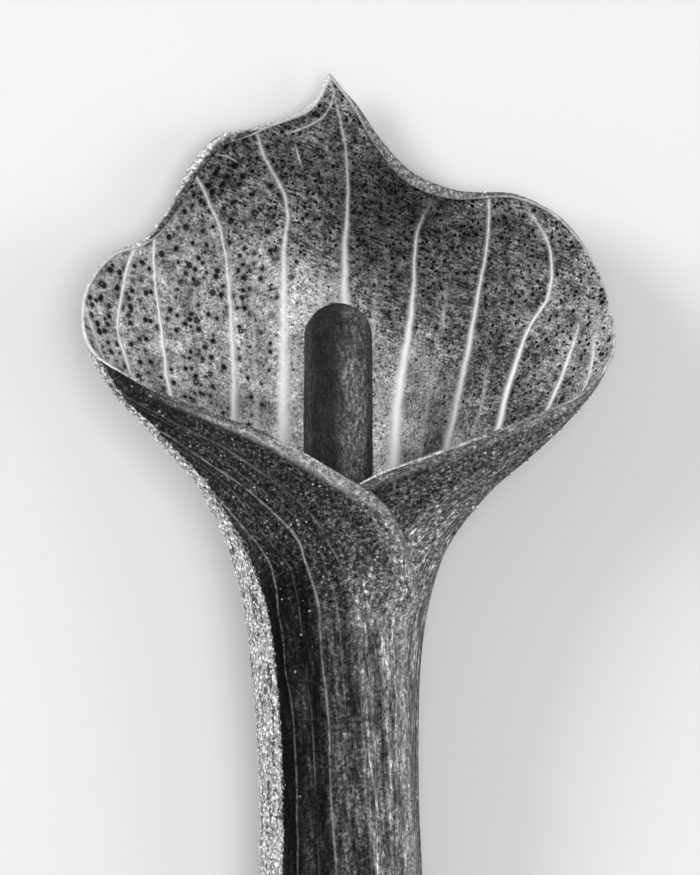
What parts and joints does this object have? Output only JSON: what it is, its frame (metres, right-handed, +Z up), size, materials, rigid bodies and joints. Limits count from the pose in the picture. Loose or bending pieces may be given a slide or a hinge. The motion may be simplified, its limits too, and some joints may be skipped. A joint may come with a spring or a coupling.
{
  "type": "jack-in-the-pulpit flower",
  "caption": "Cut jack-in-the-pulpit flower lying on its back: a leaf rolled into a tube and flared into an open hood, with a club-shaped spadix standing inside it.",
  "frame": {"origin": "centre of the bounding box's underside, on the surface the flower lies on", "axes": "+Y along the flower from the cut stalk to the tip of the hood, +X to the flower's right seen from its open front, +Z up, out of the open front"},
  "size_m": [0.0608, 0.1548, 0.0284],
  "materials": {
    "spathe": "satin leaf, pale raised veins, dark pits and pale warts, in neutral grey",
    "spadix": "matt, finely mottled and grained dark grey club",
    "stalk": "satin, finely ribbed fleshy stalk, paler where it is cut",
    "ovary": "smooth plump ovary with a pale brushy stigma"
  },
  "bodies": {
    "root": {"spathe": "spathe", "spadix": "spadix", "peduncle": "stalk", "ovary_01": "ovary", "ovary_02": "ovary", "ovary_03": "ovary", "ovary_04": "ovary", "ovary_05": "ovary", "ovary_06": "ovary", "ovary_07": "ovary", "ovary_08": "ovary", "ovary_09": "ovary", "ovary_10": "ovary", "ovary_11": "ovary", "ovary_12": "ovary", "ovary_13": "ovary", "ovary_14": "ovary", "ovary_15": "ovary", "ovary_16": "ovary", "ovary_17": "ovary", "ovary_18": "ovary", "ovary_19": "ovary", "ovary_20": "ovary", "ovary_21": "ovary", "ovary_22": "ovary", "ovary_23": "ovary", "ovary_24": "ovary", "ovary_25": "ovary", "ovary_26": "ovary", "ovary_27": "ovary", "ovary_28": "ovary", "ovary_29": "ovary", "ovary_30": "ovary", "ovary_31": "ovary", "ovary_32": "ovary", "ovary_33": "ovary", "ovary_34": "ovary", "ovary_35": "ovary", "ovary_36": "ovary", "ovary_37": "ovary", "ovary_38": "ovary", "ovary_39": "ovary", "ovary_40": "ovary", "ovary_41": "ovary", "ovary_42": "ovary", "ovary_43": "ovary", "ovary_44": "ovary", "ovary_45": "ovary"}
  },
  "joints": []
}
